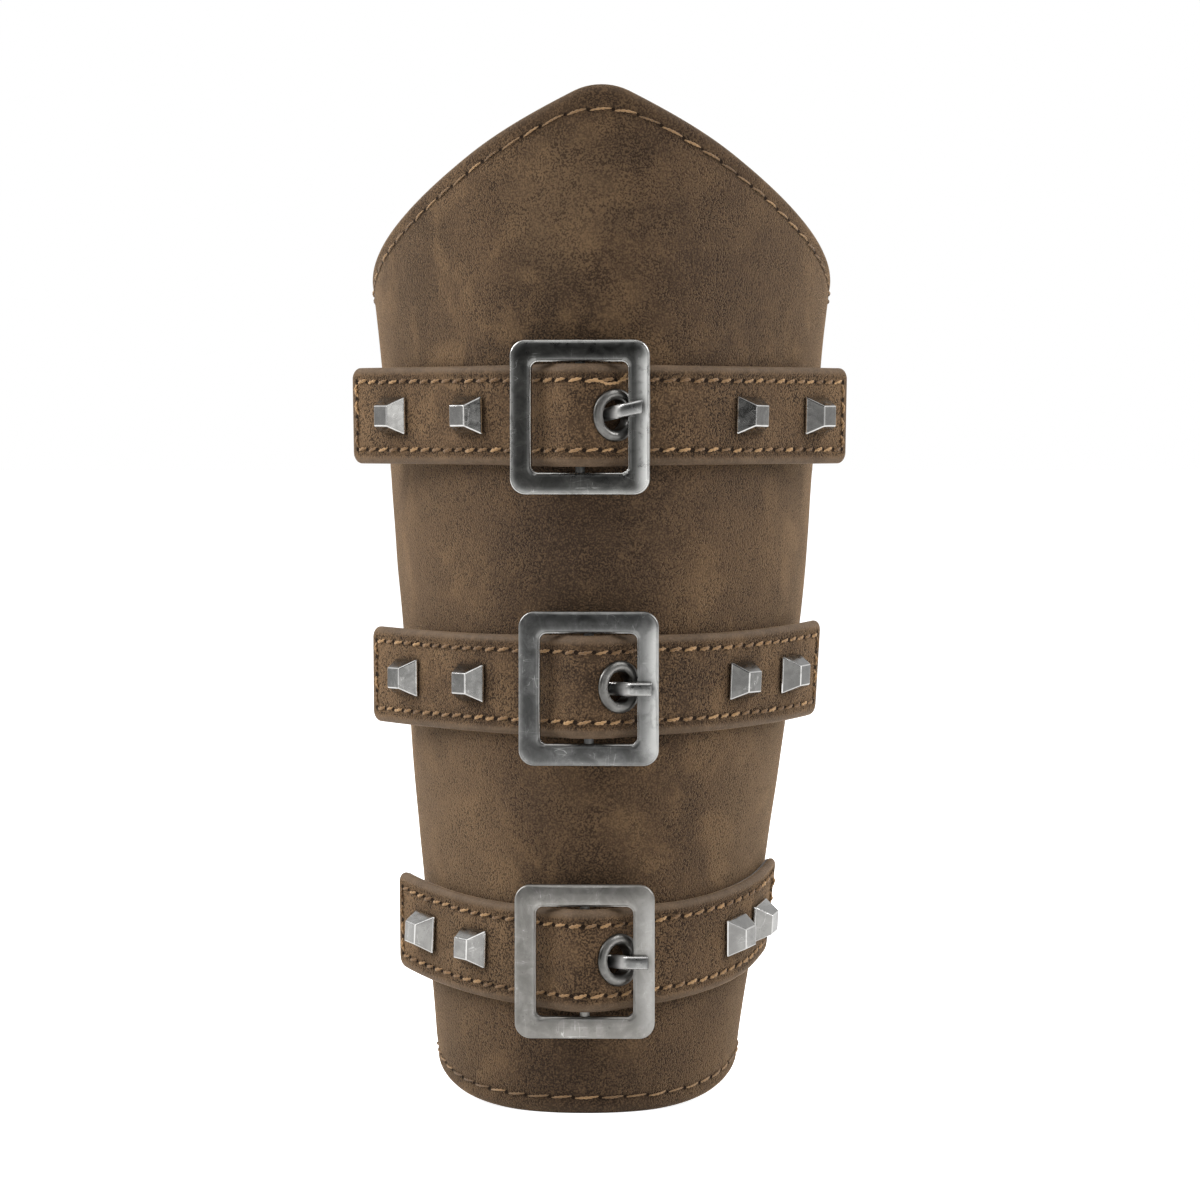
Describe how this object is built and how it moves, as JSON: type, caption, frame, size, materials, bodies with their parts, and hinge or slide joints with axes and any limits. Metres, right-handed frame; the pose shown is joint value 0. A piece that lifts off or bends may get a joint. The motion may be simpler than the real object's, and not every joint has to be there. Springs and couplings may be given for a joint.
{
  "type": "forearm bracer",
  "caption": "Tapered leather forearm guard with a pointed elbow edge, buckled and studded straps across its front, and lacing eyelets along its open back.",
  "frame": {"origin": "inside the forearm hollow at the level of the wrist hem's lowest points, 54 mm behind the panel's front line", "axes": "+Z along the forearm from wrist to elbow, -Y out of the front where the buckles are, +X to the right seen from the front"},
  "size_m": [0.1306, 0.1258, 0.2605],
  "materials": {
    "outer_leather": "nubuck, brushed",
    "strap_leather": "nubuck, brushed",
    "backing_leather": "plain split side",
    "lining_leather": "soft split side, matt",
    "fibre_board": "pressed fibre, matt",
    "antique_nickel": "antiqued, worn bright at the edges",
    "plain_nickel": "dull plated"
  },
  "bodies": {
    "cuff": {"outer_panel": "outer_leather", "stiffener_board": "fibre_board", "lining": "lining_leather", "lace_eyelets_left": "plain_nickel", "lace_eyelets_right": "plain_nickel", "lace_washers_left": "plain_nickel", "lace_washers_right": "plain_nickel", "wrist_strap_face": "strap_leather", "wrist_strap_backing": "backing_leather", "wrist_buckle_frame": "antique_nickel", "wrist_eyelet": "plain_nickel", "wrist_eyelet_washer": "plain_nickel", "wrist_studs": "antique_nickel", "wrist_stud_caps": "plain_nickel", "middle_strap_face": "strap_leather", "middle_strap_backing": "backing_leather", "middle_buckle_frame": "antique_nickel", "middle_eyelet": "plain_nickel", "middle_eyelet_washer": "plain_nickel", "middle_studs": "antique_nickel", "middle_stud_caps": "plain_nickel", "elbow_strap_face": "strap_leather", "elbow_strap_backing": "backing_leather", "elbow_buckle_frame": "antique_nickel", "elbow_eyelet": "plain_nickel", "elbow_eyelet_washer": "plain_nickel", "elbow_studs": "antique_nickel", "elbow_stud_caps": "plain_nickel"},
    "wrist_tongue": {"wrist_prong": "antique_nickel"},
    "middle_tongue": {"middle_prong": "antique_nickel"},
    "elbow_tongue": {"elbow_prong": "antique_nickel"}
  },
  "joints": [
    {"name": "wrist_prong_lift", "type": "hinge", "parent": "cuff", "child": "wrist_tongue", "pos_m": [-0.00423, -0.05887, 0.0394], "axis": [0, 0, -1], "range_deg": [0, 16]},
    {"name": "middle_prong_lift", "type": "hinge", "parent": "cuff", "child": "middle_tongue", "pos_m": [-0.00321, -0.05882, 0.1083], "axis": [0, 0, -1], "range_deg": [0, 16]},
    {"name": "elbow_prong_lift", "type": "hinge", "parent": "cuff", "child": "elbow_tongue", "pos_m": [-0.00537, -0.0586, 0.1766], "axis": [0, 0, -1], "range_deg": [0, 16]}
  ]
}
